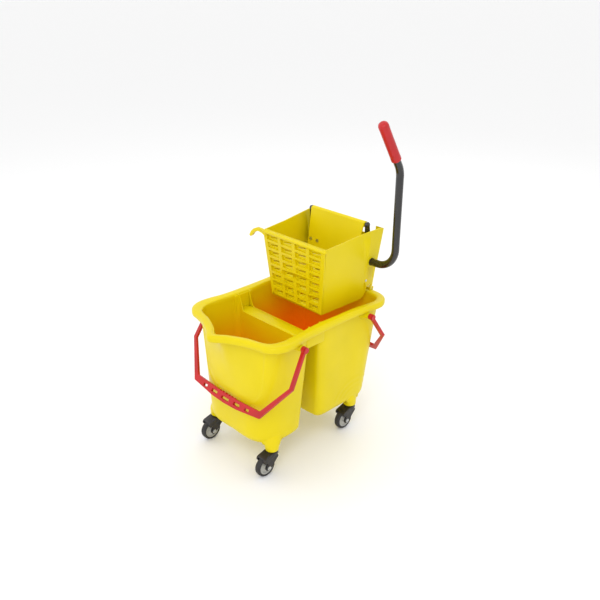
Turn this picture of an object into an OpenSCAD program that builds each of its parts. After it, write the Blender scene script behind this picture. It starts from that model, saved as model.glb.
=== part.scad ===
// Twin-tub mop bucket on four swivel casters, with a lift-off side-press wringer.
// Frame: X to the right, Y to the rear, Z up, origin on the floor midway between the caster stems.

/* [Bucket] */
// Width of the rim across its corner lobes
rim_width = 364; // [358:2:364]
// Length of the rim from the tip of the pouring spout to the rear edge
rim_length = 516; // [510:2:522]
// Height of the rim above the floor
rim_height = 413; // [411:1:420]
// Height of the underside of both tubs above the floor
tub_base = 87; // [86:1:92]
// Wall thickness of the moulded tubs
tub_wall = 4; // [3:0.5:5]

/* [Casters] */
// Wheel diameter
wheel_d = 60; // [56:1:62]
// Width of the tyre
wheel_w = 18; // [16:1:19]
// Distance of each caster stem from the centre line
caster_x = 118; // [116:1:120]
// Distance of each caster stem from the middle of the bucket
caster_y = 157; // [155:1:159]
// How far each wheel trails behind its stem
caster_trail = 27; // [24:1:30]
// Diameter of the caster stem
stem_d = 11; // [10:0.5:12]

/* [Carrying bails] */
// Thickness of the flat bail
bail_t = 8; // [6:1:9]
// Width of the bail's side arms
bail_arm_w = 11; // [9:1:12]
// Lean of the resting bails from the vertical
bail_lean = 31.5; // [30:0.5:33]

/* [Wringer] */
// Height of the underside of the wringer above the floor
wringer_base = 395; // [393:1:397]
// Height of the wringer's front lip above the floor
wringer_top = 591; // [586:1:594]
// Width of the wringer's front at its lip
wringer_width = 236; // [234:1:240]
// Width of the wringer's front at its base
wringer_foot_width = 196; // [194:1:200]
// Columns of drain cells on the front
cell_columns = 4; // [3:1:5]
// Rows of drain cells on the front
cell_rows = 8; // [6:1:9]

/* [Press linkage] */
// Diameter of the lever shaft
shaft_d = 16; // [14:1:16]
// Diameter of the rod across the top of the press plate
rod_d = 10; // [9:1:10]

/* [Lever] */
// Outer diameter of the lever tube
tube_d = 21; // [20.5:0.5:24]
// Distance of the lever's upright from the centre line
lever_x = 200; // [198:1:204]
// Centreline radius of the lever's lower bend
lever_bend_r = 58; // [54:1:60]
// Forward lean of the grip
grip_lean = 32; // [28:1:36]
// Outer diameter of the grip
grip_d = 27; // [27:1:32]

/* [Hidden] */
$fn = 48;
run_fit = 0.05;

// Colours of the mouldings and fittings
yellow = "#F2DC00";
red = "#C8202C";
black = "#1C1B1B";
grey = "#B9B9B4";
steel = "#9A9CA0";

// Half outlines, from the front centre round the right side to the rear centre.
kx = rim_width / 364;
ky = rim_length / 516;
rim_half = [
    [0, -262], [36, -240], [80, -217], [118, -206], [146, -200], [168, -184], [180, -160], [182, -134],
    [179, -108], [174, -84], [171, -50], [170, 0], [170, 60], [172, 110], [177, 150], [182, 184],
    [181, 212], [166, 238], [138, 251], [90, 254], [0, 254]
];
mouth_half = [
    [0, -240], [32, -219], [76, -196], [112, -187], [133, -178], [145, -161], [151, -137], [150, -109],
    [148, -75], [145, -50], [143, -20], [144, 10], [148, 50], [148, 90], [151, 130], [158, 170],
    [161, 200], [149, 223], [116, 232], [0, 233]
];
front_top_half = [
    [0, -205], [32, -204], [76, -198], [112, -190], [135, -181], [148, -163], [154, -138], [153, -110],
    [151, -75], [149, -52], [141, -38], [118, -36], [60, -36], [0, -36]
];
spout_half = [[0, -38], [0, -18], [0, -2]];
front_base_half = [
    [0, -198], [32, -199], [66, -198], [96, -188], [117, -170], [128, -148], [132, -124], [133, -100],
    [132, -84], [128, -68], [116, -59], [96, -56], [50, -55], [0, -55]
];
rear_top_half = [
    [0, -6], [60, -6], [118, -6], [141, -4], [149, 12], [151, 50], [151, 90], [154, 130],
    [161, 170], [164, 200], [152, 226], [118, 235], [60, 236], [0, 236]
];
rear_base_half = [
    [0, 8], [50, 8], [98, 9], [120, 14], [129, 30], [131, 60], [131, 90], [132, 120],
    [133, 150], [131, 184], [118, 205], [90, 212], [50, 214], [0, 214]
];
ring_steps = 3;

// Saddle between the tubs
saddle_y = -21;
saddle_w = 38;
saddle_top = rim_height - 50;
slot_top = rim_height - 62;
skirt = 18;
foot_z = 71;
foot_r = 19;
socket_r = 9;
socket_top = 105;

// Wheels
wheel_r = wheel_d / 2;
hub_r = wheel_r - 7;
axle_r = 4;
yoke_w = 32;
yoke_well_w = 22;

// Bails
pivot_x = 187;
pivot_z = rim_height - 28;
front_pivot_y = -103;
rear_pivot_y = 156;
knee_x = 196;
corner_x = 131;
bail_pin_r = 5;
pin_start_x = 160;

// Wringer
front_rise = wringer_top - wringer_base;
front_y_base = 50;
front_y_top = 38;
front_lean = atan((front_y_base - front_y_top) / front_rise);
cell_depth = 6;
grid_wall = 9;
panel_wall = 3;
rib_h = 7;
rib_w = 12;
row_pitch = (front_rise - 10) / cell_rows;

// Linkage, as [y, z]
shaft_yz = [228, wringer_base + 113];
crank = [-8, 107];
rod_yz = shaft_yz + crank;
link_base_yz = shaft_yz - [12, 56];
link_plate_yz = link_base_yz + crank;
crank_x = 103;
crank_t = 5;
link_x = 93;
link_t = 4;
link_w = 10;
link_pin_r = 3;
plate_tilt = 11.9;
plate_foot_yz = [178, wringer_base + 68];
plate_h = 161.5;
screw_v = 71;
screw_x = [57, 83];
plate_t = 3;

// Lever
tube_wall = 2;
lever_start_x = 124;
shaft_end_x = 140;
upper_bend_r = 60;
upper_bend_z = 783;
grip_start = 36;
grip_len = 119;
seam = 0.3;

function whole(half) =
    concat([for (p = half) [p[0] * kx, p[1] * ky]],
        [for (i = [len(half) - 2 : -1 : 1]) [-half[i][0] * kx, half[i][1] * ky]]);
function spline(a, b, c, d, t) =
    0.5 * (2 * b + (c - a) * t + (2 * a - 5 * b + 4 * c - d) * t * t + (3 * b - a - 3 * c + d) * t * t * t);
function smooth(ring) = let (n = len(ring)) [
    for (i = [0 : n - 1], s = [0 : ring_steps - 1])
        spline(ring[(i + n - 1) % n], ring[i], ring[(i + 1) % n], ring[(i + 2) % n], s / ring_steps)
];
function inset(ring, d) = let (n = len(ring)) [
    for (i = [0 : n - 1])
        let (t = ring[(i + 1) % n] - ring[(i + n - 1) % n], u = t / norm(t)) ring[i] + d * [-u[1], u[0]]
];
function blend(a, b, t) = [for (i = [0 : len(a) - 1]) a[i] * (1 - t) + b[i] * t];
function tub_share(z) = (z - tub_base) / (rim_height - tub_base);
// The pouring spout swells out of the front wall only near the rim.
function with_spout(half, t) = [
    for (i = [0 : len(half) - 1]) half[i] + (i < len(spout_half) ? spout_half[i] * pow(t, 4) : [0, 0])
];

// A closed solid through rings of equal length, one above the other.
module loft(rings, heights) {
    n = len(rings[0]);
    last = len(rings) - 1;
    points = [for (k = [0 : last], p = rings[k]) [p[0], p[1], heights[k]]];
    sides = [
        for (k = [0 : last - 1], i = [0 : n - 1])
            [k * n + i, (k + 1) * n + i, (k + 1) * n + (i + 1) % n, k * n + (i + 1) % n]
    ];
    foot = [for (i = [0 : n - 1]) i];
    head = [for (i = [n - 1 : -1 : 0]) last * n + i];
    polyhedron(points, concat(sides, [foot, head]));
}

module on_x(yz) translate([0, yz[0], yz[1]]) rotate([90, 0, 90]) children();
module both_sides() {
    children();
    mirror([1, 0, 0]) children();
}
module rod_x(r, x0, x1, yz) on_x(yz) translate([0, 0, x0]) cylinder(r = r, h = x1 - x0);

// ---------------------------------------------------------------- bucket

function tub_ring(top, base, z, spout) =
    let (t = tub_share(z)) smooth(whole(blend(base, spout ? with_spout(top, t) : top, t)));

module tub_outside(top, base, spout) {
    levels = [[0, 24], [3, 12], [10, 4], [24, 0], [130, 0], [220, 0], [rim_height - 3 - tub_base, 0]];
    loft([for (v = levels) inset(tub_ring(top, base, tub_base + v[0], spout), v[1])],
        [for (v = levels) tub_base + v[0]]);
}

module tub_inside(top, base, spout) {
    floor_z = tub_base + tub_wall;
    levels = [[0, 26], [3, 14], [10, 7], [24, tub_wall], [130, tub_wall], [220, tub_wall],
        [rim_height - 4 - floor_z, tub_wall - 1], [rim_height + 1 - floor_z, 0]];
    loft([for (v = levels) inset(tub_ring(top, base, floor_z + v[0], spout), v[1])],
        [for (v = levels) floor_z + v[0]]);
}

module rim_flange() {
    rim = smooth(whole(rim_half));
    difference() {
        loft([inset(rim, 2), rim, rim, inset(rim, 2.5), inset(rim, 7)],
            [rim_height - skirt, rim_height - skirt + 3, rim_height - 7, rim_height - 2, rim_height]);
        loft([inset(rim, 5), inset(rim, 5), inset(rim, 8)],
            [rim_height - skirt - 1, rim_height - 8, rim_height - 4]);
    }
}

module caster_foot(x, y) hull() {
    translate([x, y, foot_z]) cylinder(r = foot_r, h = 2, $fn = 32);
    translate([x - 14 * sign(x), y - 14 * sign(y), tub_base + 26]) sphere(r = foot_r + 11, $fn = 32);
}

module pivot_boss(side, y) hull() {
    translate([side * 140, y, pivot_z - 4]) rotate([0, 90, 0]) cylinder(r = 15, h = 4, center = true, $fn = 24);
    translate([side * (pivot_x - 9), y, pivot_z]) rotate([0, 90, 0]) cylinder(r = 9, h = 4, center = true, $fn = 24);
}

module bucket_body() color(yellow) {
    mouth = smooth(whole(mouth_half));
    difference() {
        union() {
            difference() {
                union() {
                    tub_outside(front_top_half, front_base_half, true);
                    tub_outside(rear_top_half, rear_base_half, false);
                    rim_flange();
                    translate([-147, saddle_y - saddle_w / 2 - 12, slot_top])
                        cube([294, saddle_w + 20, rim_height - 4 - slot_top]);
                    for (x = [-caster_x, caster_x], y = [-caster_y, caster_y]) caster_foot(x, y);
                    for (side = [-1, 1], y = [front_pivot_y, rear_pivot_y]) pivot_boss(side, y);
                }
                tub_inside(front_top_half, front_base_half, true);
                tub_inside(rear_top_half, rear_base_half, false);
                loft([inset(mouth, 12), inset(mouth, 7), inset(mouth, 3), inset(mouth, -5)],
                    [rim_height - 20, rim_height - 12, rim_height - 5, rim_height + 1]);
                translate([-138, -62, saddle_top]) cube([276, 74, rim_height - saddle_top - 10]);
                translate([-136, saddle_y - 11, slot_top - 1]) cube([272, 22, saddle_top - slot_top - 5]);
            }
            for (x = [-caster_x, caster_x], y = [-caster_y, caster_y])
                translate([x, y, foot_z + 1]) cylinder(r = socket_r + 4, h = socket_top + 4 - foot_z);
        }
        for (x = [-caster_x, caster_x], y = [-caster_y, caster_y])
            translate([x, y, foot_z - 1]) cylinder(r = socket_r + 0.3, h = socket_top + 1.5 - foot_z);
        for (y = [front_pivot_y, rear_pivot_y])
            both_sides() rod_x(bail_pin_r + 0.3, pin_start_x, pivot_x, [y, pivot_z], $fn = 32);
    }
}

module bail_pivot_pins() color(red)
    for (y = [front_pivot_y, rear_pivot_y]) both_sides() {
        rod_x(bail_pin_r, pin_start_x + 0.5, pivot_x + 9, [y, pivot_z]);
        rod_x(bail_pin_r + 3, pivot_x + 6.5, pivot_x + 9, [y, pivot_z]);
    }

// ---------------------------------------------------------------- bails

// One flat bail drawn in its own plane: x across, y down from the pivots.
module bail_outline(knee, corner, inner) {
    w = inner * bail_arm_w / 2;
    bar = inner > 0 ? 13 : -11;
    half = [
        [pivot_x - w, -inner * 4], [knee_x - w, knee], [corner_x - w * 0.5, corner - bar * 0.72],
        [50, corner + 8 - bar], [0, corner + 10 - bar]
    ];
    polygon(concat(half, [for (i = [3 : -1 : 0]) [-half[i][0], half[i][1]]]));
}

module bail(knee, corner) {
    slots = [[0, 30], [46, 24], [-46, 24], [86, 16], [-86, 16]];
    difference() {
        union() {
            linear_extrude(bail_t, center = true) difference() {
                bail_outline(knee, corner, -1);
                bail_outline(knee, corner, 1);
                for (s = slots) translate([s[0], corner + 9 - abs(s[0]) * 0.045])
                    square([s[1], 8], center = true);
            }
            linear_extrude(bail_t, center = true)
                for (x = [-30 : 12 : 30]) translate([x, corner - 3]) circle(r = 3);
            both_sides() translate([pivot_x, 0, 0]) rotate([0, 90, 0])
                cylinder(r = 8.5, h = bail_arm_w, center = true);
        }
        both_sides() translate([pivot_x - 10, 0, 0]) rotate([0, 90, 0])
            cylinder(r = bail_pin_r + run_fit, h = 20);
    }
}

module front_bail() color(red)
    translate([0, front_pivot_y, pivot_z]) rotate([-90 - bail_lean, 0, 0]) bail(105, 204);

module rear_bail() color(red)
    translate([0, rear_pivot_y, pivot_z]) rotate([-90 + bail_lean, 0, 0]) bail(81, 178);

// ---------------------------------------------------------------- casters

function corner_xy(c) = [c[1] == "l" ? -caster_x : caster_x, c[0] == "f" ? -caster_y : caster_y];
module at_caster(c) translate([corner_xy(c)[0], corner_xy(c)[1], 0]) children();

module socket(c) color(steel) at_caster(c) difference() {
    translate([0, 0, foot_z - 1]) cylinder(r = socket_r, h = socket_top - foot_z + 1);
    translate([0, 0, foot_z - 2]) cylinder(r = stem_d / 2 + run_fit, h = socket_top - foot_z - 2);
}

module stem(c) color(steel) at_caster(c) {
    translate([0, 0, foot_z - 6]) cylinder(d = stem_d, h = socket_top - foot_z);
    translate([0, 0, foot_z - 6]) cylinder(d = stem_d + 6, h = 2);
}

module yoke(c) color(black) at_caster(c) difference() {
    union() {
        hull() {
            translate([0, 0, foot_z - 10]) cylinder(r = 17, h = 8.5, $fn = 32);
            rod_x(8, -yoke_w / 2, yoke_w / 2, [-caster_trail - 8, foot_z - 17], $fn = 32);
        }
        hull() {
            rod_x(9, -yoke_w / 2, yoke_w / 2, [-caster_trail, wheel_r], $fn = 32);
            rod_x(10, -yoke_w / 2, yoke_w / 2, [-caster_trail + 11, foot_z - 20], $fn = 32);
            rod_x(7, -yoke_w / 2, yoke_w / 2, [-caster_trail + 28, foot_z - 16], $fn = 32);
        }
    }
    rod_x(wheel_r + 2.2, -yoke_well_w / 2, yoke_well_w / 2, [-caster_trail, wheel_r]);
    rod_x(axle_r + run_fit, -yoke_w, yoke_w, [-caster_trail, wheel_r]);
    translate([0, 0, foot_z - 6.2]) cylinder(d = stem_d + 6.6, h = 10);
}

module axle(c) color(steel) at_caster(c) {
    rod_x(axle_r, -yoke_w / 2 - 2.5, yoke_w / 2 + 2.5, [-caster_trail, wheel_r]);
    both_sides() rod_x(axle_r + 2, yoke_w / 2 + 0.3, yoke_w / 2 + 2.5, [-caster_trail, wheel_r]);
}

module hub(c) color(grey) at_caster(c) on_x([-caster_trail, wheel_r]) rotate_extrude() polygon([
    [axle_r + run_fit, -10], [8, -10], [8, -4], [hub_r - 3, -4], [hub_r - 3, -7.5], [hub_r, -7.5],
    [hub_r, 7.5], [hub_r - 3, 7.5], [hub_r - 3, 4], [8, 4], [8, 10], [axle_r + run_fit, 10]
]);

module tyre(c) color(black) at_caster(c) on_x([-caster_trail, wheel_r]) rotate_extrude() polygon([
    [hub_r + 0.02, -wheel_w / 2 + 1], [wheel_r - 3, -wheel_w / 2], [wheel_r - 0.6, -wheel_w / 2 + 3],
    [wheel_r, -wheel_w / 2 + 6], [wheel_r, wheel_w / 2 - 6], [wheel_r - 0.6, wheel_w / 2 - 3],
    [wheel_r - 3, wheel_w / 2], [hub_r + 0.02, wheel_w / 2 - 1]
]);

// ---------------------------------------------------------------- wringer

// Half outlines of the wringer's wall at lip height and at base height.
wringer_lip_half = [
    [0, 44], [60, 44], [112, 44], [117.5, 47], [118.5, 80], [120, 130], [123, 178], [126, 212],
    [129, 238], [131, 256], [128, 263], [117, 266], [60, 267], [0, 267]
];
wringer_base_half = [
    [0, 56], [50, 56], [93, 56], [98, 58], [99, 88], [101, 130], [103, 178], [105, 205],
    [107, 226], [108, 240], [104, 250], [90, 254], [50, 255], [0, 255]
];
wringer_side = [
    [30, wringer_top], [44, wringer_top], [80, wringer_top + 2], [122, wringer_top + 5],
    [165, wringer_top + 9], [205, wringer_top + 12], [240, wringer_top + 14], [256, wringer_top + 13],
    [270, wringer_top + 6], [290, wringer_top - 10], [290, wringer_base + 118], [262, wringer_base + 101],
    [250, wringer_base + 96], [250, rim_height + 0.3], [238, rim_height + 0.3], [238, wringer_base + 39],
    [222, wringer_base + 39], [220, wringer_base + 20], [214, wringer_base + 8], [204, wringer_base + 2],
    [192, wringer_base], [30, wringer_base]
];

function trapezoid(w0, w1, h) = [[-w0, 0], [w0, 0], [w1, h], [-w1, h]];

module wringer_prism(wall) {
    kxw = [wringer_foot_width / 196, wringer_width / 236];
    base = [for (p = whole_plain(wringer_base_half)) [p[0] * kxw[0], p[1]]];
    lip = [for (p = whole_plain(wringer_lip_half)) [p[0] * kxw[1], p[1]]];
    prism_top = wringer_top + 17;
    top_share = (prism_top - wringer_base) / front_rise;
    low_share = -2 / front_rise;
    loft([inset(blend(base, lip, low_share), wall), inset(blend(base, lip, top_share), wall)],
        [wringer_base - 2, prism_top]);
}
function whole_plain(half) =
    concat(half, [for (i = [len(half) - 2 : -1 : 1]) [-half[i][0], half[i][1]]]);

module on_wringer_front() translate([0, front_y_base, wringer_base]) rotate([90 + front_lean, 0, 0]) children();

// A flat rib with round ends between two points of the wringer's front.
module rib(a, b, w) hull() for (p = [a, b])
    translate([p[0], p[1], -cell_depth - 1]) cylinder(d = w, h = cell_depth + 1, $fn = 24);

function front_half(y) = (wringer_foot_width + (wringer_width - wringer_foot_width) * y / front_rise) / 2;

module front_grid() on_wringer_front() {
    translate([0, 0, -grid_wall]) linear_extrude(grid_wall - cell_depth)
        polygon(trapezoid(front_half(0), front_half(front_rise), front_rise));
    for (r = [0 : cell_rows]) {
        y = 4 + r * row_pitch;
        rib([-front_half(y) + 4, y], [front_half(y) - 4, y], rib_h);
    }
    for (c = [0 : cell_columns]) {
        share = 2 * c / cell_columns - 1;
        rib([share * (front_half(0) - 6), 6], [share * (front_half(front_rise) - 6), front_rise - 6], rib_w);
    }
}

module drain_slots() on_wringer_front()
    for (r = [0 : cell_rows - 1], c = [0 : cell_columns - 1]) {
        y = 4 + r * row_pitch;
        pitch = 2 * (front_half(y) - 6) / cell_columns;
        translate([-front_half(y) + 6 + c * pitch + rib_w, y + rib_h, -grid_wall - 1])
            linear_extrude(grid_wall) polygon([[0, 0], [pitch - 2 * rib_w, 4], [pitch - 2 * rib_w, 9], [0, 5]]);
    }

module mop_hook() {
    outline = [
        [-112, -5], [-128, -2], [-146, -2], [-160, -9], [-170, -18], [-178, -31], [-173, -35],
        [-167, -31], [-160, -22], [-150, -14], [-138, -11], [-124, -13], [-110, -21]
    ];
    translate([0, front_y_top + 8, wringer_top]) rotate([90, 0, 0]) linear_extrude(8) polygon(outline);
}

module wringer_body() color(yellow) difference() {
    union() {
        intersection() {
            difference() {
                wringer_prism(0);
                wringer_prism(panel_wall);
            }
            rotate([90, 0, 90]) linear_extrude(320, center = true) polygon(wringer_side);
        }
        // Front grid wall, floor, lip and hook
        front_grid();
        translate([-97, front_y_base, wringer_base]) cube([194, 132, 3.5]);
        hull() both_sides() translate([wringer_width / 2 - 3, front_y_top + 3.5, wringer_top - 6])
            sphere(r = 5.5, $fn = 24);
        mop_hook();
        // Shaft bosses, link bosses and rear hooks over the rim
        both_sides() {
            rod_x(17, 111, 119, shaft_yz);
            rod_x(8, 98.5, 111, link_base_yz);
            translate([73, 243.6, rim_height + 0.6]) cube([33, 15.2, 5]);
            translate([73.7, 255.4, rim_height - 14]) cube([31.5, 3.2, 17.8]);
        }
    }
    drain_slots();
    for (x = [-84 : 24 : 84]) translate([x - 4, front_y_base + 26, wringer_base - 1]) cube([8, 92, 6]);
    // The rear wall is open above the mechanism
    translate([-100, 240, wringer_top - 20]) cube([200, 60, 60]);
    both_sides() {
        rod_x(11.2, 100, 130, shaft_yz);
        rod_x(link_pin_r + 0.2, 90, 125, link_base_yz);
    }
}

module shaft_bushings() color(black) both_sides() difference() {
    union() {
        rod_x(11, 108.8, 123.4, shaft_yz);
        rod_x(14, 108.8, 110.7, shaft_yz);
    }
    rod_x(shaft_d / 2 + run_fit, 100, 130, shaft_yz);
}

module link_pivot_pins() color(steel) both_sides() {
    rod_x(link_pin_r, 91.5, 113, link_base_yz);
    rod_x(link_pin_r + 2, 91.5, 92.7, link_base_yz);
}

// A torsion spring drawn as its stacked coils, with one leg against the rear wall.
module return_springs() color(steel) both_sides() {
    wire = 3;
    mean_r = 11.5;
    translate([60, 0, 0]) on_x(shaft_yz) rotate_extrude()
        for (k = [0 : 7]) translate([mean_r, k * wire * 0.92]) circle(d = wire);
    translate([62, shaft_yz[0], shaft_yz[1] + mean_r]) rotate([-90, 0, 0]) cylinder(d = wire, h = 30.5);
}

// ---------------------------------------------------------------- lever and press

module lever_shaft() color(black) difference() {
    rod_x(shaft_d / 2, -124, shaft_end_x, shaft_yz);
    translate([134, shaft_yz[0], shaft_yz[1] - 20]) cylinder(d = 6, h = 40);
}

module crank_arm(side) color(black) {
    x0 = side > 0 ? crank_x : -crank_x - crank_t;
    difference() {
        on_x([0, 0]) translate([0, 0, x0]) linear_extrude(crank_t) polygon([
            [shaft_yz[0] - 12, shaft_yz[1]], [shaft_yz[0] - 8, shaft_yz[1] - 10],
            [shaft_yz[0] + 8, shaft_yz[1] - 10], [shaft_yz[0] + 12, shaft_yz[1]],
            [rod_yz[0] + 7.5, rod_yz[1]], [rod_yz[0] + 4, rod_yz[1] + 7],
            [rod_yz[0] - 4, rod_yz[1] + 7], [rod_yz[0] - 7.5, rod_yz[1]]
        ]);
        rod_x(shaft_d / 2, x0 - 1, x0 + crank_t + 1, shaft_yz);
        rod_x(rod_d / 2, x0 - 1, x0 + crank_t + 1, rod_yz);
    }
}
module crank_arm_left() crank_arm(-1);
module crank_arm_right() crank_arm(1);

module cross_rod() color(black) {
    rod_x(rod_d / 2, -109, 109, rod_yz);
    both_sides() rod_x(rod_d / 2 + 1.5, 108, 110, rod_yz);
}

// The bent lever as a run of exact lengths and bends of one radius.
module lever_run(r, start) {
    low_x = lever_x - lever_bend_r;
    low_z = shaft_yz[1] + lever_bend_r;
    bend_len = upper_bend_r * tan(grip_lean / 2);
    rod_x(r, start, low_x, shaft_yz);
    translate([low_x, shaft_yz[0], low_z]) rotate([90, 0, 0]) rotate([0, 0, -90])
        rotate_extrude(angle = 90) translate([lever_bend_r, 0]) circle(r = r);
    translate([lever_x, shaft_yz[0], low_z]) cylinder(r = r, h = upper_bend_z - bend_len - low_z);
    translate([lever_x, shaft_yz[0] - upper_bend_r, upper_bend_z - bend_len]) rotate([90, 0, 90])
        rotate_extrude(angle = grip_lean) translate([upper_bend_r, 0]) circle(r = r);
    // A hair wider, so that the bend ends inside it
    on_grip() translate([0, 0, bend_len - seam])
        cylinder(r = r + 0.02, h = grip_start + grip_len - 6 - bend_len + seam);
}
module on_grip() translate([lever_x, shaft_yz[0], upper_bend_z]) rotate([grip_lean, 0, 0]) children();

module lever_tube() color(black) difference() {
    lever_run(tube_d / 2, lever_start_x);
    rod_x(shaft_d / 2, lever_start_x - 1, shaft_end_x, shaft_yz);
    translate([134, shaft_yz[0], shaft_yz[1] - 20]) cylinder(d = 6, h = 40);
    lever_run(tube_d / 2 - tube_wall, shaft_end_x - 0.1);
    on_grip() translate([0, 0, grip_start + grip_len - 12]) cylinder(r = tube_d / 2 - tube_wall, h = 12);
}

module lever_roll_pin() color(steel)
    translate([134, shaft_yz[0], shaft_yz[1] - tube_d / 2 + 0.5]) cylinder(d = 6, h = tube_d - 1);

module lever_grip() color(red) on_grip() difference() {
    union() {
        translate([0, 0, grip_start]) cylinder(d = grip_d, h = grip_len - 6);
        translate([0, 0, grip_start + grip_len - 6]) cylinder(d1 = grip_d, d2 = grip_d - 10, h = 6);
    }
    translate([0, 0, grip_start - 1]) cylinder(d = tube_d + 0.1, h = grip_len - 5);
}

module on_plate() translate([0, plate_foot_yz[0], plate_foot_yz[1]]) rotate([90 - plate_tilt, 0, 0]) children();

module press_plate() color(yellow) difference() {
    union() {
        on_plate() translate([0, 0, -plate_t]) linear_extrude(plate_t) polygon(trapezoid(88, 100, plate_h));
        rod_x(8.5, -100, 100, rod_yz);
        for (x = [-70, -35, 0, 35, 70]) on_plate() translate([x - 1.5, 4, -9]) cube([3, 46, 8]);
        on_plate() translate([-86, 0, -9]) cube([172, 4, 8]);
    }
    rod_x(rod_d / 2 + run_fit, -101, 101, rod_yz);
    both_sides() for (x = screw_x) on_plate() translate([x, screw_v, -20]) cylinder(r = 2.6, h = 40);
}

module link_brackets() color(black) both_sides() difference() {
    union() {
        on_plate() translate([50, screw_v - 9, -plate_t - 3]) cube([41, 18, 3]);
        on_x(link_plate_yz) translate([0, 0, 88]) linear_extrude(3) polygon([
            [-13.5, -38], [2, -36], [7, -8], [8.5, 2], [5, 7.5], [-1, 8], [-5.5, 3]
        ]);
    }
    for (x = screw_x) on_plate() translate([x, screw_v, -20]) cylinder(r = 2.6, h = 40);
    rod_x(link_pin_r, 80, 95, link_plate_yz);
}

module plate_screws() color(steel) both_sides() for (x = screw_x) on_plate() translate([x, screw_v, 0]) {
    cylinder(r = 5, h = 2);
    translate([0, 0, -plate_t - 9]) cylinder(r = 2.5, h = plate_t + 10);
    translate([0, 0, -plate_t - 7]) cylinder(r = 4.5, h = 4, $fn = 6);
}

module plate_link_pins() color(steel) both_sides() {
    rod_x(link_pin_r, 86, 98.5, link_plate_yz);
    rod_x(link_pin_r + 2, 97.3, 98.5, link_plate_yz);
}

module lower_link(side) color(steel) {
    x0 = side > 0 ? link_x : -link_x - link_t;
    rise = link_plate_yz - link_base_yz;
    difference() {
        union() {
            on_x(link_base_yz) translate([0, 0, x0]) cylinder(d = link_w + 1, h = link_t);
            on_x(link_plate_yz) translate([0, 0, x0]) cylinder(d = link_w + 1, h = link_t);
            on_x(link_base_yz) rotate([0, 0, atan2(rise[1], rise[0])])
                translate([0, -link_w / 2, x0]) cube([norm(rise), link_w, link_t]);
        }
        rod_x(link_pin_r + run_fit, x0 - 1, x0 + link_t + 1, link_base_yz);
        rod_x(link_pin_r + 0.25, x0 - 1, x0 + link_t + 1, link_plate_yz);
    }
}
module lower_link_left() lower_link(-1);
module lower_link_right() lower_link(1);

// ---------------------------------------------------------------- every node by name

bucket_body();
bail_pivot_pins();
front_bail();
rear_bail();
for (c = ["fl", "fr", "rl", "rr"]) {
    socket(c);
    stem(c);
    yoke(c);
    axle(c);
    hub(c);
    tyre(c);
}
wringer_body();
shaft_bushings();
link_pivot_pins();
return_springs();
lever_shaft();
crank_arm_left();
crank_arm_right();
lever_tube();
lever_grip();
lever_roll_pin();
cross_rod();
press_plate();
link_brackets();
plate_screws();
plate_link_pins();
lower_link_left();
lower_link_right();
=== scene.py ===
"""Twin-tub mop bucket with a side-press wringer, dressed over its CAD frame."""

import math

import bmesh
import bpy
import numpy as np
from mathutils import Matrix, Vector


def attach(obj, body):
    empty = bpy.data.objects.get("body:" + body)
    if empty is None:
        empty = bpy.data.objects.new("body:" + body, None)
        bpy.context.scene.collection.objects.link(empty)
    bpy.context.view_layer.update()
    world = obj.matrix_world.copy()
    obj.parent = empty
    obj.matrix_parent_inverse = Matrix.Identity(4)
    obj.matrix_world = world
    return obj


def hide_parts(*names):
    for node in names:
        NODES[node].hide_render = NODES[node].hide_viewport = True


bl_info = {
    "name": "Mop Bucket and Wringer",
    "version": (1, 0, 0),
    "blender": (4, 5, 0),
    "location": "View3D > Sidebar > Mop Bucket",
    "description": "Builds a twin-tub mop bucket with a side-press wringer",
    "category": "Add Mesh",
}

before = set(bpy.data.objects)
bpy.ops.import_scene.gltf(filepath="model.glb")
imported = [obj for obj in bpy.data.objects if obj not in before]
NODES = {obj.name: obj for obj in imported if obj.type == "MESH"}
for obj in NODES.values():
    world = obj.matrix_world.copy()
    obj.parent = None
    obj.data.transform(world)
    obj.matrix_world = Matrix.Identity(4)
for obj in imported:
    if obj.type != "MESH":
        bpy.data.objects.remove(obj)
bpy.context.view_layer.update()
CORNERS = {"fl": (-1, -1), "fr": (1, -1), "rl": (-1, 1), "rr": (1, 1)}

# Heights and places, in millimetres, as the CAD has them
RIM = 413.0
TUB_BASE = 87.0
SADDLE = 363.0
FOOT = 71.0
CASTER_X, CASTER_Y, TRAIL = 118.0, 157.0, 27.0
WHEEL_R, WHEEL_W = 30.0, 18.0

# Points from one outline corner to the next
STEPS = 9

# Half outlines from the front centre round the right side to the rear centre, in millimetres
RIM_HALF = [
    (0, -262), (36, -240), (80, -217), (118, -206), (146, -200), (168, -184), (180, -160),
    (182, -134), (179, -108), (174, -84), (171, -50), (170, 0), (170, 60), (172, 110),
    (177, 150), (182, 184), (181, 212), (166, 238), (138, 251), (90, 254), (0, 254),
]
MOUTH_HALF = [
    (0, -239), (32, -218), (76, -195), (112, -186), (130, -178), (141, -166), (148, -150),
    (150, -132), (149, -108), (147, -80), (144, -50), (142.5, 0), (146, 55), (148, 110),
    (153, 150), (158, 182), (157.5, 206), (145, 223), (120, 230), (80, 232), (0, 232),
]
FRONT_TOP = [
    (0, -205), (32, -204), (76, -198), (112, -190), (135, -181), (148, -163), (154, -138),
    (153, -110), (151, -75), (149, -52), (141, -38), (118, -36), (60, -36), (0, -36),
]
FRONT_BASE = [
    (0, -198), (32, -199), (66, -198), (96, -188), (117, -170), (128, -148), (132, -124),
    (133, -100), (132, -84), (128, -68), (116, -59), (96, -56), (50, -55), (0, -55),
]
SPOUT = [-38, -18, -2]
REAR_TOP = [
    (0, -6), (60, -6), (118, -6), (141, -4), (149, 12), (151, 50), (151, 90), (154, 130),
    (161, 170), (164, 200), (152, 226), (118, 235), (60, 236), (0, 236),
]
REAR_BASE = [
    (0, 8), (50, 8), (98, 9), (120, 14), (129, 30), (131, 60), (131, 90), (132, 120),
    (133, 150), (131, 184), (118, 205), (90, 212), (50, 214), (0, 214),
]


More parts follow.
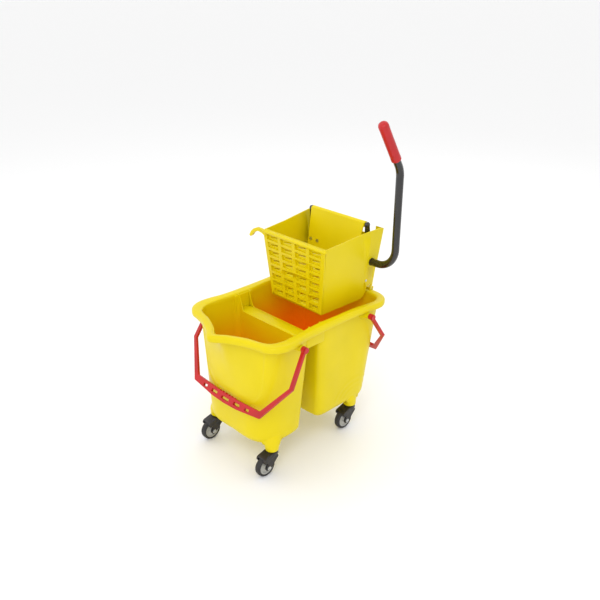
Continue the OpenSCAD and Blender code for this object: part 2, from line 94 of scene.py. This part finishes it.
def linear(code):
    """A hex colour as the linear values a shader takes."""
    parts = [int(code[i : i + 2], 16) / 255 for i in (1, 3, 5)]
    return tuple(c / 12.92 if c <= 0.04045 else ((c + 0.055) / 1.055) ** 2.4 for c in parts)


class BucketSizes(bpy.types.PropertyGroup):
    """Sizes a user would change."""

    tub_wall: bpy.props.FloatProperty(
        name="Tub wall",
        description="Thickness of the moulded tub walls",
        default=0.0036,
        min=0.002,
        max=0.006,
        unit="LENGTH",
    )
    panel_depth: bpy.props.FloatProperty(
        name="Front panel depth",
        description="How far the panel behind the front bail is sunk",
        default=0.0022,
        min=0.0,
        max=0.004,
        unit="LENGTH",
    )
    arch_relief: bpy.props.FloatProperty(
        name="Arch relief",
        description="Height of the arched ridges over the rear casters",
        default=0.0008,
        min=0.0,
        max=0.0012,
        unit="LENGTH",
    )
    edge_round: bpy.props.FloatProperty(
        name="Bail edge rounding",
        description="Radius of the rounded edges of the bails and their pins",
        default=0.0009,
        min=0.0002,
        max=0.002,
        unit="LENGTH",
    )


class BucketColours(bpy.types.PropertyGroup):
    """Colours of the mouldings."""

    body: bpy.props.FloatVectorProperty(
        name="Body",
        description="Colour of the tubs, the wringer and the press plate",
        subtype="COLOR",
        default=linear("#E2CD02"),
        min=0.0,
        max=1.0,
    )
    handles: bpy.props.FloatVectorProperty(
        name="Handles",
        description="Colour of the bails, their pins and the lever's grip",
        subtype="COLOR",
        default=linear("#C0141A"),
        min=0.0,
        max=1.0,
    )
    hubs: bpy.props.FloatVectorProperty(
        name="Hubs",
        description="Colour of the wheel hubs",
        subtype="COLOR",
        default=linear("#B9B8B0"),
        min=0.0,
        max=1.0,
    )


# ------------------------------------------------------------------ materials


def add(tree, kind, sockets=None, **settings):
    """Adds a node, with its settings and with its sockets set or linked."""
    node = tree.nodes.new(kind)
    for key, value in settings.items():
        setattr(node, key, value)
    for key, value in (sockets or {}).items():
        if isinstance(value, bpy.types.NodeSocket):
            tree.links.new(value, node.inputs[key])
        else:
            node.inputs[key].default_value = value
    return node


def new_material(name):
    """An empty node material, or the one made before. The frame's own materials have the slots' names."""
    found = bpy.data.materials.get(name)
    if found:
        return found, None
    material = bpy.data.materials.new(name)
    material.use_nodes = True
    material.node_tree.nodes.clear()
    return material, material.node_tree


def finish_shader(tree, colour, roughness, normal, **sockets):
    values = {"Base Color": colour, "Roughness": roughness, "Normal": normal}
    values.update({key.replace("_", " "): value for key, value in sockets.items()})
    shader = add(tree, "ShaderNodeBsdfPrincipled", values)
    add(tree, "ShaderNodeOutputMaterial", {"Surface": shader.outputs["BSDF"]})


def tones(tree, at, low, high, scale):
    """A slow drift between two close colours, scale in patches per metre."""
    drift = add(tree, "ShaderNodeTexNoise", {"Vector": at, "Scale": scale, "Detail": 3.0})
    ramp = add(tree, "ShaderNodeValToRGB", {"Fac": drift.outputs["Fac"]})
    ramp.color_ramp.elements[0].position = 0.35
    ramp.color_ramp.elements[1].position = 0.65
    ramp.color_ramp.elements[0].color = (*low, 1.0)
    ramp.color_ramp.elements[1].color = (*high, 1.0)
    return ramp.outputs["Color"]


def grain(tree, at, millimetres, depth, strength):
    """A fine moulded or sprayed grain, as a normal."""
    noise = add(tree, "ShaderNodeTexNoise", {"Vector": at, "Scale": 1000 / millimetres, "Detail": 2.0})
    bump = add(
        tree,
        "ShaderNodeBump",
        {"Height": noise.outputs["Fac"], "Strength": strength, "Distance": depth},
    )
    return bump.outputs["Normal"]


def varied(tree, at, scale, low, high):
    """A roughness that wanders between two values."""
    noise = add(tree, "ShaderNodeTexNoise", {"Vector": at, "Scale": scale, "Detail": 4.0})
    spread = add(
        tree,
        "ShaderNodeMapRange",
        {"Value": noise.outputs["Fac"], "From Min": 0.3, "From Max": 0.7, "To Min": low, "To Max": high},
    )
    return spread.outputs["Result"]


def shade(colour, factor):
    return tuple(c * factor for c in colour)


def yellow_polypropylene():
    """Injection-moulded polypropylene: a waxy half-gloss with a faint sparked grain and flow marks."""
    body = tuple(bpy.context.scene.bucket_colours.body)
    material, tree = new_material("yellow_moulded_polypropylene")
    if tree:
        at = add(tree, "ShaderNodeTexCoord").outputs["Object"]
        drift = tones(tree, at, shade(body, 0.94), body, 7.0)
        # Painted light: the inside of the tubs is painted orange and given a painted glow, an emission,
        # stronger lower down, for light that bounces round the tubs and comes through the walls
        painted_glow = add(tree, "ShaderNodeAttribute", attribute_name="painted_glow").outputs["Fac"]
        colour = add(
            tree,
            "ShaderNodeMix",
            {"Factor": painted_glow, "A": drift, "B": (*linear("#F0640A"), 1.0)},
            data_type="RGBA",
        )
        glow = add(
            tree,
            "ShaderNodeMix",
            {"Factor": painted_glow, "A": (0.0, 0.0, 0.0, 1.0), "B": (0.17, 0.035, 0.0, 1.0)},
            data_type="RGBA",
        )
        # Flow marks 3 mm apart run down the walls
        stretch = add(tree, "ShaderNodeMapping", {"Vector": at, "Scale": (330.0, 330.0, 9.0)})
        flow = add(
            tree,
            "ShaderNodeTexNoise",
            {"Vector": stretch.outputs["Vector"], "Scale": 1.0, "Detail": 1.0},
        )
        marks = add(
            tree,
            "ShaderNodeBump",
            {
                "Height": flow.outputs["Fac"],
                "Strength": 0.12,
                "Distance": 0.0002,
                "Normal": grain(tree, at, 0.9, 0.00006, 0.35),
            },
        )
        finish_shader(
            tree,
            colour.outputs["Result"],
            varied(tree, at, 25.0, 0.30, 0.42),
            marks.outputs["Normal"],
            IOR=1.49,
            Specular_IOR_Level=0.25,
            Emission_Color=glow.outputs["Result"],
            Emission_Strength=1.0,
        )
    return material


def red_polypropylene():
    """Moulded polypropylene of the handles: half-gloss, slightly matt where hands rub it."""
    red = tuple(bpy.context.scene.bucket_colours.handles)
    material, tree = new_material("red_moulded_polypropylene")
    if tree:
        at = add(tree, "ShaderNodeTexCoord").outputs["Object"]
        finish_shader(
            tree,
            tones(tree, at, shade(red, 0.85), red, 30.0),
            varied(tree, at, 60.0, 0.30, 0.46),
            grain(tree, at, 0.8, 0.00008, 0.4),
            IOR=1.49,
        )
    return material


def grey_polypropylene():
    """Moulded wheel hubs: matt grey with road dust in the grain."""
    grey = tuple(bpy.context.scene.bucket_colours.hubs)
    material, tree = new_material("grey_moulded_polypropylene")
    if tree:
        at = add(tree, "ShaderNodeTexCoord").outputs["Object"]
        finish_shader(
            tree,
            tones(tree, at, shade(grey, 0.78), grey, 120.0),
            varied(tree, at, 150.0, 0.42, 0.6),
            grain(tree, at, 0.7, 0.00008, 0.4),
            IOR=1.49,
        )
    return material


def black_nylon():
    """Glass-filled nylon of the caster forks: deep black with a dry satin sheen."""
    material, tree = new_material("black_moulded_nylon")
    if tree:
        at = add(tree, "ShaderNodeTexCoord").outputs["Object"]
        finish_shader(
            tree,
            tones(tree, at, linear("#151313"), linear("#231F20"), 90.0),
            varied(tree, at, 120.0, 0.34, 0.5),
            grain(tree, at, 0.6, 0.0001, 0.5),
            IOR=1.53,
        )
    return material


def black_enamel():
    """Baked enamel on steel tube: wet gloss over a very faint orange peel."""
    material, tree = new_material("black_enamelled_steel")
    if tree:
        at = add(tree, "ShaderNodeTexCoord").outputs["Object"]
        finish_shader(
            tree,
            tones(tree, at, linear("#0E0D0D"), linear("#1A1818"), 20.0),
            varied(tree, at, 40.0, 0.2, 0.3),
            grain(tree, at, 2.5, 0.00005, 0.3),
            Coat_Weight=0.5,
            Coat_Roughness=0.08,
        )
    return material


def zinc_plate():
    """Bright zinc plate on steel: cool grey metal, lightly brushed and clouded."""
    material, tree = new_material("zinc_plated_steel")
    if tree:
        at = add(tree, "ShaderNodeTexCoord").outputs["Object"]
        finish_shader(
            tree,
            tones(tree, at, linear("#A9ABAE"), linear("#CFD1D3"), 200.0),
            varied(tree, at, 300.0, 0.24, 0.4),
            grain(tree, at, 0.5, 0.00005, 0.4),
            Metallic=1.0,
        )
    return material


def tyre_rubber():
    """Vulcanised rubber: matt black, greyed by floor dust."""
    material, tree = new_material("black_vulcanised_rubber")
    if tree:
        at = add(tree, "ShaderNodeTexCoord").outputs["Object"]
        finish_shader(
            tree,
            tones(tree, at, linear("#1B1A1A"), linear("#2B2928"), 70.0),
            varied(tree, at, 90.0, 0.55, 0.75),
            grain(tree, at, 0.9, 0.00012, 0.5),
            IOR=1.52,
        )
    return material


def pale_floor():
    """Painted studio floor: white and plain."""
    material, tree = new_material("studio_floor")
    if tree:
        at = add(tree, "ShaderNodeTexCoord").outputs["Object"]
        finish_shader(tree, (0.93, 0.93, 0.93, 1.0), 0.6, grain(tree, at, 3.0, 0.00005, 0.1))
    return material


# ------------------------------------------------------------------ mesh helpers


def spline_loop(points, steps):
    """A closed smooth loop through the points."""
    p = np.array(points, float)
    a, c, d = np.roll(p, 1, 0), np.roll(p, -1, 0), np.roll(p, -2, 0)
    parts = [
        0.5 * (2 * p + (c - a) * t + (2 * a - 5 * p + 4 * c - d) * t * t + (3 * p - a - 3 * c + d) * t**3)
        for t in np.arange(steps) / steps
    ]
    return np.stack(parts, 1).reshape(-1, 2)


def whole(half):
    return [*half, *[(-x, y) for x, y in half[-2:0:-1]]]


def inset(ring, distance):
    along = np.roll(ring, -1, 0) - np.roll(ring, 1, 0)
    along /= np.linalg.norm(along, axis=1, keepdims=True)
    inward = np.stack([-along[:, 1], along[:, 0]], 1)
    return ring + inward * np.reshape(distance, (-1, 1))


def smoothstep(t):
    t = np.clip(t, 0.0, 1.0)
    return t * t * (3 - 2 * t)


def grow_rings(bm, rings, closed=False):
    """Extrudes a loop of vertices through the rings, each an n by 3 array in metres."""
    loop = bmesh.ops.create_circle(bm, segments=len(rings[0]), radius=1.0)["verts"]
    first = loop
    for v, p in zip(loop, rings[0]):
        v.co = p
    for ring in rings[1:]:
        edges = [bm.edges.get((loop[i - 1], loop[i])) for i in range(len(loop))]
        made = bmesh.ops.extrude_edge_only(bm, edges=edges)["geom"]
        fresh = {v for v in made if isinstance(v, bmesh.types.BMVert)}
        loop = [next(e.other_vert(v) for e in v.link_edges if e.other_vert(v) in fresh) for v in loop]
        for v, p in zip(loop, ring):
            v.co = p
    ends = [[bm.edges.get((end[i - 1], end[i])) for i in range(len(end))] for end in (first, loop)]
    if closed:
        bmesh.ops.bridge_loops(bm, edges=ends[0] + ends[1])
    else:
        for end in ends:
            bmesh.ops.edgeloop_fill(bm, edges=end)
    bmesh.ops.recalc_face_normals(bm, faces=bm.faces)


def at_height(ring, z):
    """A flat ring in millimetres as points in metres, at one height or one for each point."""
    return np.column_stack([ring, np.broadcast_to(z, len(ring))]) / 1000


def spun(bm, profile, centre, axis, steps=64):
    """Turns a closed profile of (radius, along) in millimetres about an axis through centre."""
    side = Vector((0, 0, 1)) if axis == "X" else Vector((1, 0, 0))
    along = Vector((1, 0, 0)) if axis == "X" else Vector((0, 0, 1))
    verts = [bm.verts.new((Vector(centre) + side * r + along * x) / 1000) for r, x in profile]
    edges = [bm.edges.new((verts[i - 1], verts[i])) for i in range(len(verts))]
    bmesh.ops.spin(
        bm,
        geom=verts + edges,
        cent=Vector(centre) / 1000,
        axis=along,
        angle=math.tau,
        steps=steps,
        use_merge=True,
    )
    bmesh.ops.remove_doubles(bm, verts=bm.verts, dist=1e-7)
    bmesh.ops.recalc_face_normals(bm, faces=bm.faces)


def put(bm, name, material, body, nodes=(), round_edges=0.0, crease=35.0):
    """Makes the finished piece, which rides on its body in place of its CAD nodes."""
    mesh = bpy.data.meshes.new(name)
    bm.to_mesh(mesh)
    bm.free()
    piece = bpy.data.objects.new(name, mesh)
    bpy.context.scene.collection.objects.link(piece)
    mesh.materials.append(material)
    mesh.shade_smooth()
    mesh.set_sharp_from_angle(angle=math.radians(crease))
    if round_edges:
        bevel = piece.modifiers.new("rounded_edges", "BEVEL")
        bevel.width = round_edges
        bevel.segments = 3
        bevel.limit_method = "ANGLE"
        bevel.angle_limit = math.radians(crease)
        bevel.harden_normals = True
    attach(piece, body)
    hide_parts(*nodes)
    return piece


def copy_of(node):
    """A merged copy of a CAD node's mesh, with its flat faces whole again."""
    bm = bmesh.new()
    bm.from_mesh(NODES[node].data)
    bmesh.ops.remove_doubles(bm, verts=bm.verts, dist=2e-6)
    bmesh.ops.dissolve_degenerate(bm, edges=bm.edges, dist=2e-6)
    bmesh.ops.dissolve_limit(bm, angle_limit=math.radians(1.0), verts=bm.verts, edges=bm.edges)
    return bm


def paint(node, material):
    """A kept CAD node takes its finish."""
    NODES[node].data.materials.clear()
    NODES[node].data.materials.append(material)


# ------------------------------------------------------------------ the bucket


def tub_outline(top, base, z, spout):
    """The tub's outside at each point's own height."""
    share = ((z - TUB_BASE) / (RIM - TUB_BASE))[:, None]
    low, high = (spline_loop(whole(half), STEPS) for half in (base, top))
    ring = low * (1 - share) + high * share
    if spout:
        swell = [(0, d) for d in SPOUT] + [(0, 0)] * (len(top) - len(SPOUT))
        ring += spline_loop(whole(swell), STEPS) * share * share**4
    return ring


def tub(top, base, divider_y, spout, relief):
    """One tub as a closed shell, its wall dipping to the saddle between the tubs."""
    settings = bpy.context.scene.bucket_sizes
    wall = settings.tub_wall * 1000
    plan = spline_loop(whole(top), STEPS)
    toward = -1 if divider_y < -20 else 1
    side = smoothstep((np.abs(plan[:, 0]) - 124) / 18)
    side = np.where((plan[:, 1] - divider_y) * toward > 22, 1.0, side)
    brim = SADDLE - 1 + (RIM - 3 - SADDLE + 1) * side

    def ring(share, floor, distance, relieved):
        z = floor + share * (brim - floor)
        out = tub_outline(top, base, z, spout)
        extra = relief(out[:, 0], out[:, 1], z) if relieved else 0.0
        return at_height(inset(out, distance + extra), z)

    rings = []
    for height, distance in ((0, 26), (0.6, 20), (2.4, 13), (5.5, 7.5), (10, 3.6), (16, 1.2), (23, 0.2)):
        rings.append(ring(height / (RIM - TUB_BASE), TUB_BASE, distance, False))
    for share in np.linspace(0.09, 1.0, 64):
        rings.append(ring(share, TUB_BASE, 0, True))
    floor = TUB_BASE + 4
    for share in np.linspace(1.0, 0.08, 30):
        rings.append(ring(share, floor, wall, False))
    for height, more in ((18, 0.6), (12, 2), (7, 5), (3, 10), (0.8, 17), (0, 24)):
        rings.append(ring(height / (RIM - floor), floor, wall + more, False))
    bm = bmesh.new()
    grow_rings(bm, rings)
    return bm


def front_relief(x, y, z):
    """A sunk panel behind the front bail, open at the top."""
    depth = bpy.context.scene.bucket_sizes.panel_depth * 1000
    width = np.interp(z, [196, 206, 216, 232, 262, 320, 395], [0, 40, 72, 96, 112, 121, 127])
    inside = smoothstep((width - np.abs(x)) / 5 + 0.5) * (y < -120) * (z > 196)
    return depth * inside * smoothstep((398 - z) / 20)


def rear_relief(x, y, z):
    """Arched ridges over the rear casters."""
    height = bpy.context.scene.bucket_sizes.arch_relief * 1000
    away = np.hypot(y - CASTER_Y, z - 85)
    ridge = sum(np.exp(-(((away - r) / 3.0) ** 2)) for r in (52, 69, 86))
    return -height * ridge * (np.abs(x) > 100) * smoothstep((z - 105) / 20)


def store_painted_glow(piece, inner):
    """Stores on each point how much painted orange and painted glow it takes, standing in for the light
    inside the tub.
    """
    mesh = piece.data
    values = np.zeros(len(mesh.vertices), np.float32)
    for i, v in enumerate(mesh.vertices):
        values[i] = inner(v.co * 1000, v.normal)
    layer = mesh.attributes.get("painted_glow") or mesh.attributes.new("painted_glow", "FLOAT", "POINT")
    layer.data.foreach_set("value", values)


# Painted light: faces turned into the tub, and its floor, take painted orange and painted glow, more the
# lower they lie
def painted_glow_inside(centre_y, strength):
    def depth(co, normal):
        facing = -(co.x * normal.x + (co.y - centre_y) * normal.y)
        if normal.z > 0.9 and co.z < 110:
            facing = 1.0
        if facing <= 0:
            return 0.0
        return strength * float(smoothstep((405 - co.z) / 200))

    return depth


class MESH_OT_bucket_tubs(bpy.types.Operator):
    """Add the two moulded tubs"""

    bl_idname = "mesh.bucket_tubs"
    bl_label = "Tubs"

    def execute(self, context):
        yellow = yellow_polypropylene()
        front = tub(FRONT_TOP, FRONT_BASE, -38, True, front_relief)
        piece = put(front, "front_tub", yellow, "bucket", ["bucket_body"], crease=50)
        # Painted orange and painted glow inside each tub, stronger in the rear tub
        store_painted_glow(piece, painted_glow_inside(-120, 0.45))
        rear = tub(REAR_TOP, REAR_BASE, -6, False, rear_relief)
        piece = put(rear, "rear_tub", yellow, "bucket", ["bucket_body"], crease=50)
        store_painted_glow(piece, painted_glow_inside(110, 0.8))
        return {"FINISHED"}


class MESH_OT_bucket_rim(bpy.types.Operator):
    """Add the rolled rim and the saddle between the tubs"""

    bl_idname = "mesh.bucket_rim"
    bl_label = "Rim and saddle"

    def execute(self, context):
        yellow = yellow_polypropylene()
        rim = spline_loop(whole(RIM_HALF), STEPS)
        mouth = spline_loop(whole(MOUTH_HALF), STEPS)

        def between(t):
            return mouth * (1 - t) + rim * t

        rings = [
            at_height(inset(mouth, 1.0), RIM - 16),
            at_height(inset(mouth, 0.5), RIM - 9),
            at_height(mouth, RIM - 5),
            at_height(between(0.06), RIM - 2.4),
            at_height(between(0.18), RIM - 0.8),
            at_height(between(0.36), RIM - 0.1),
            at_height(between(0.6), RIM),
            at_height(inset(rim, 6.0), RIM - 0.3),
            at_height(inset(rim, 3.4), RIM - 1.3),
            at_height(inset(rim, 1.5), RIM - 3.0),
            at_height(inset(rim, 0.4), RIM - 5.4),
            at_height(rim, RIM - 8.0),
            at_height(inset(rim, 0.2), RIM - 14.5),
            at_height(inset(rim, 0.9), RIM - 16.8),
            at_height(inset(rim, 2.2), RIM - 17.8),
            at_height(inset(rim, 4.2), RIM - 17.2),
            at_height(inset(rim, 5.0), RIM - 14.0),
            at_height(inset(rim, 6.0), RIM - 6.5),
            at_height(between(0.3), RIM - 5.5),
            at_height(between(0.12), RIM - 9.0),
        ]
        bm = bmesh.new()
        grow_rings(bm, rings, closed=True)
        put(bm, "rolled_rim", yellow, "bucket", ["bucket_body"], crease=60)

        # The saddle is a rounded bar, and webs close the wall over the gap between the tubs
        bm = bmesh.new()
        profile = [
            (-41, 352), (-41.2, 356), (-40, 359.4), (-37, 361.8), (-32, 363), (-12, 363.2),
            (-6, 362.6), (-3.2, 360.8), (-2, 357.5), (-2, 352),
        ]
        verts = [bm.verts.new(Vector((-141, y, z)) / 1000) for y, z in profile]
        face = bm.faces.new(verts)
        moved = bmesh.ops.extrude_face_region(bm, geom=[face])["geom"]
        bmesh.ops.translate(
            bm,
            vec=(0.282, 0, 0),
            verts=[v for v in moved if isinstance(v, bmesh.types.BMVert)],
        )
        bmesh.ops.recalc_face_normals(bm, faces=bm.faces)
        put(bm, "saddle", yellow, "bucket", ["bucket_body"], crease=40)
        for side, word in ((-1, "left"), (1, "right")):
            bm = bmesh.new()
            web = bmesh.ops.create_cube(bm, size=1.0)["verts"]
            bmesh.ops.scale(bm, vec=(0.0075, 0.066, 0.056), verts=web)
            bmesh.ops.translate(bm, vec=(side * 0.1438, -0.021, 0.379), verts=web)
            bmesh.ops.bevel(
                bm,
                geom=bm.edges,
                offset=0.002,
                segments=3,
                profile=0.5,
                affect="EDGES",
                material=-1,
            )
            put(bm, f"gap_web_{word}", yellow, "bucket", ["bucket_body"])
        return {"FINISHED"}


class MESH_OT_bucket_feet(bpy.types.Operator):
    """Add the feet over the casters and the bosses of the bails"""

    bl_idname = "mesh.bucket_feet"
    bl_label = "Feet and bosses"

    def execute(self, context):
        yellow = yellow_polypropylene()
        for corner, (sx, sy) in CORNERS.items():
            top, base = (FRONT_TOP, FRONT_BASE) if sy < 0 else (REAR_TOP, REAR_BASE)
            turn = np.linspace(0, math.tau, 40, endpoint=False)
            rings = []
            for z, radius, shift in (
                (FOOT, 15.5, 0), (FOOT + 0.4, 17.5, 0), (FOOT + 1.6, 18.6, 0), (FOOT + 6, 19.4, 0.3),
                (FOOT + 12, 20.6, 1), (FOOT + 19, 22.6, 2.5), (FOOT + 26, 24.6, 4.5), (FOOT + 34, 25.8, 7.5),
                (FOOT + 42, 25.4, 11), (FOOT + 50, 23.4, 14), (FOOT + 56, 19.5, 16), (FOOT + 60, 13.0, 17),
            ):
                ring = np.stack([
                    sx * (CASTER_X - shift) + radius * np.cos(turn),
                    sy * (CASTER_Y - shift) + radius * np.sin(turn),
                ], 1)
                if z > TUB_BASE + 2:
                    wall = inset(tub_outline(top, base, np.full(26 * STEPS, z), False), 2.2)
                    middle = np.array((0.0, -125.0 if sy < 0 else 110.0))
                    gaps = np.linalg.norm(ring[:, None] - wall[None], axis=2)
                    nearest = wall[gaps.argmin(1)]
                    inside = np.linalg.norm(ring - middle, axis=1) < np.linalg.norm(nearest - middle, axis=1)
                    ring = np.where(inside[:, None], nearest, ring)
                rings.append(at_height(ring, z))
            bm = bmesh.new()
            grow_rings(bm, rings)
            put(bm, f"foot_{corner}", yellow, "bucket", ["bucket_body"], crease=60)
            bm = bmesh.new()
            spun(
                bm,
                [(0, 96), (13, 96), (13, 106.5), (12.4, 108.6), (11, 109.7), (9, 110), (0, 110)],
                (sx * CASTER_X, sy * CASTER_Y, 0),
                "Z",
                48,
            )
            put(bm, f"socket_boss_{corner}", yellow, "bucket", ["bucket_body"])
        for y, row, wall in ((-103, "front", 149.5), (156, "rear", 154.0)):
            for side, word in ((-1, "left"), (1, "right")):
                bm = bmesh.new()
                profile = [
                    (5.4, wall), (14.5, wall), (13.6, wall + 4), (11.5, wall + 9), (9.4, 171), (9.0, 176),
                    (8.8, 179), (7.8, 180), (5.4, 180),
                ]
                spun(bm, [(r, side * x) for r, x in profile], (0, y, RIM - 28), "X", 40)
                put(bm, f"{row}_bail_boss_{word}", yellow, "bucket", ["bucket_body"])
        return {"FINISHED"}


class MESH_OT_bucket_bails(bpy.types.Operator):
    """Add the carrying bails and their pins"""

    bl_idname = "mesh.bucket_bails"
    bl_label = "Carrying bails"

    def execute(self, context):
        red = red_polypropylene()
        rounding = context.scene.bucket_sizes.edge_round
        bodies = {"front_bail": "front_bail", "rear_bail": "rear_bail", "bail_pivot_pins": "bucket"}
        for node, body in bodies.items():
            piece = f"{node}_moulding"
            put(copy_of(node), piece, red, body, [node], rounding)
        return {"FINISHED"}


class MESH_OT_bucket_wheels(bpy.types.Operator):
    """Add the wheels and their forks"""

    bl_idname = "mesh.bucket_wheels"
    bl_label = "Casters"

    def execute(self, context):
        rubber, grey, nylon, zinc = tyre_rubber(), grey_polypropylene(), black_nylon(), zinc_plate()
        hub_r, half = WHEEL_R - 7, WHEEL_W / 2
        for corner, (sx, sy) in CORNERS.items():
            centre = (sx * CASTER_X, sy * CASTER_Y - TRAIL, WHEEL_R)
            bm = bmesh.new()
            spun(bm, [
                (hub_r, -half + 1), (hub_r + 2.2, -half + 0.2),
                (WHEEL_R - 3.4, -half), (WHEEL_R - 1.6, -half + 1.2),
                (WHEEL_R - 0.5, -half + 3.2), (WHEEL_R, -half + 6.2), (WHEEL_R, half - 6.2),
                (WHEEL_R - 0.5, half - 3.2), (WHEEL_R - 1.6, half - 1.2), (WHEEL_R - 3.4, half),
                (hub_r + 2.2, half - 0.2), (hub_r, half - 1),
            ], centre, "X", 72)
            put(bm, f"wheel_tyre_{corner}", rubber, f"wheel_{corner}", [f"tyre_{corner}"])
            bm = bmesh.new()
            spun(bm, [
                (4.1, -10), (7.4, -10), (8, -9.4), (8.4, -4.6), (9, -4), (hub_r - 4, -4), (hub_r - 3.2, -4.6),
                (hub_r - 2.6, -7), (hub_r - 2, -7.5), (hub_r - 0.1, -7.5),
                (hub_r - 0.1, 7.5), (hub_r - 2, 7.5),
                (hub_r - 2.6, 7), (hub_r - 3.2, 4.6), (hub_r - 4, 4), (9, 4),
                (8.4, 4.6), (8, 9.4), (7.4, 10), (4.1, 10),
            ], centre, "X", 72)
            put(bm, f"wheel_hub_{corner}", grey, f"wheel_{corner}", [f"hub_{corner}"])
            yoke, swivel = f"yoke_{corner}", f"swivel_{corner}"
            put(copy_of(yoke), f"fork_{corner}", nylon, swivel, [yoke], 0.0012, 40)
            for node in (f"axle_{corner}", f"stem_{corner}", f"socket_{corner}"):
                paint(node, zinc)
        return {"FINISHED"}


class MESH_OT_bucket_wringer(bpy.types.Operator):
    """Add the wringer and its press plate"""

    bl_idname = "mesh.bucket_wringer"
    bl_label = "Wringer"

    def execute(self, context):
        yellow, zinc, nylon, enamel = yellow_polypropylene(), zinc_plate(), black_nylon(), black_enamel()
        for node, body, rounding in (("wringer_body", "wringer", 0.0), ("press_plate", "plate", 0.0008)):
            piece = node.replace("_body", "") + "_moulding"
            put(copy_of(node), piece, yellow, body, [node], rounding, 30)
        paint("shaft_bushings", nylon)
        for node in ("link_pivot_pins", "return_springs", "plate_screws", "plate_link_pins"):
            paint(node, zinc)
        for side in ("left", "right"):
            paint(f"lower_link_{side}", zinc)
        paint("link_brackets", enamel)
        return {"FINISHED"}


class MESH_OT_bucket_lever(bpy.types.Operator):
    """Add the lever with its grip and the press shaft"""

    bl_idname = "mesh.bucket_lever"
    bl_label = "Lever"

    def execute(self, context):
        enamel, red = black_enamel(), red_polypropylene()
        for node in ("lever_tube", "lever_shaft", "crank_arm_left", "crank_arm_right", "cross_rod"):
            paint(node, enamel)
        paint("lever_roll_pin", zinc_plate())
        lean = math.radians(32)
        bm = bmesh.new()
        spun(bm, [
            (10.56, 0.4), (12.6, 0), (13.3, 0.6), (13.5, 1.8), (13.5, 8), (13.2, 12), (13.2, 98), (13.5, 104),
            (13.5, 108), (13.1, 112), (11.8, 115.4), (9.4, 117.8), (6, 118.8),
            (2.5, 118.95), (0, 118.95), (0, 114), (10.56, 114),
        ], (0, 0, 0), "Z", 56)
        foot = Vector((0.200, 0.228, 0.783)) + Matrix.Rotation(lean, 3, "X") @ Vector((0, 0, 0.036))
        place = Matrix.Translation(foot) @ Matrix.Rotation(lean, 4, "X")
        bmesh.ops.transform(bm, matrix=place, verts=bm.verts)
        put(bm, "lever_hand_grip", red, "lever", ["lever_grip"], crease=50)
        return {"FINISHED"}


class SCENE_OT_bucket_stage(bpy.types.Operator):
    """Add the floor, the lights and the camera"""

    bl_idname = "scene.bucket_stage"
    bl_label = "Stage"

    def execute(self, context):
        scene = context.scene
        bm = bmesh.new()
        bmesh.ops.create_grid(bm, x_segments=8, y_segments=8, size=40.0)
        mesh = bpy.data.meshes.new("floor")
        bm.to_mesh(mesh)
        bm.free()
        floor = bpy.data.objects.new("floor", mesh)
        mesh.materials.append(pale_floor())
        scene.collection.objects.link(floor)

        world = bpy.data.worlds.new("studio")
        world.use_nodes = True
        world.node_tree.nodes["Background"].inputs["Color"].default_value = (1, 1, 1, 1)
        world.node_tree.nodes["Background"].inputs["Strength"].default_value = 1.0
        scene.world = world
        scene.view_settings.view_transform = "Standard"

        for name, energy, size, place in (
            ("key", 26.0, 1.6, (1.5, -1.9, 2.5)),
            ("fill", 9.0, 2.0, (-2.2, -1.2, 1.8)),
            ("back", 11.0, 1.6, (-0.6, 2.2, 2.4)),
        ):
            light = bpy.data.lights.new(name, "AREA")
            light.energy = energy
            light.size = size
            lamp = bpy.data.objects.new(name, light)
            lamp.location = place
            lamp.rotation_euler = (Vector((0, 0, 0.35)) - Vector(place)).to_track_quat("-Z", "Y").to_euler()
            scene.collection.objects.link(lamp)

        azimuth, elevation, distance = math.radians(45.36), math.radians(25.55), 2.2775
        forward = Vector((
            -math.sin(azimuth) * math.cos(elevation),
            math.cos(azimuth) * math.cos(elevation),
            -math.sin(elevation),
        ))
        data = bpy.data.cameras.new("camera")
        data.sensor_width = 36.0
        data.lens = 42.59
        camera = bpy.data.objects.new("camera", data)
        camera.location = Vector((-0.1789, 0.2426, 0.283)) - forward * distance
        camera.rotation_euler = forward.to_track_quat("-Z", "Y").to_euler()
        scene.collection.objects.link(camera)
        scene.camera = camera
        return {"FINISHED"}


class VIEW3D_PT_mop_bucket(bpy.types.Panel):
    """Lists the settings and the pieces"""

    bl_label = "Mop Bucket"
    bl_idname = "VIEW3D_PT_mop_bucket"
    bl_space_type = "VIEW_3D"
    bl_region_type = "UI"
    bl_category = "Mop Bucket"

    def draw(self, context):
        for group in (context.scene.bucket_sizes, context.scene.bucket_colours):
            for name in group.__annotations__:
                self.layout.prop(group, name)
        for operator in PIECES:
            self.layout.operator(operator.bl_idname)


PIECES = (
    MESH_OT_bucket_tubs,
    MESH_OT_bucket_rim,
    MESH_OT_bucket_feet,
    MESH_OT_bucket_bails,
    MESH_OT_bucket_wheels,
    MESH_OT_bucket_wringer,
    MESH_OT_bucket_lever,
    SCENE_OT_bucket_stage,
)
CLASSES = (BucketSizes, BucketColours, *PIECES, VIEW3D_PT_mop_bucket)


def register():
    for cls in CLASSES:
        bpy.utils.register_class(cls)
    bpy.types.Scene.bucket_sizes = bpy.props.PointerProperty(type=BucketSizes)
    bpy.types.Scene.bucket_colours = bpy.props.PointerProperty(type=BucketColours)


def unregister():
    del bpy.types.Scene.bucket_sizes
    del bpy.types.Scene.bucket_colours
    for cls in reversed(CLASSES):
        bpy.utils.unregister_class(cls)


def main():
    register()
    for operator in PIECES:
        group, name = operator.bl_idname.split(".")
        getattr(getattr(bpy.ops, group), name)()


if __name__ == "__main__":
    main()
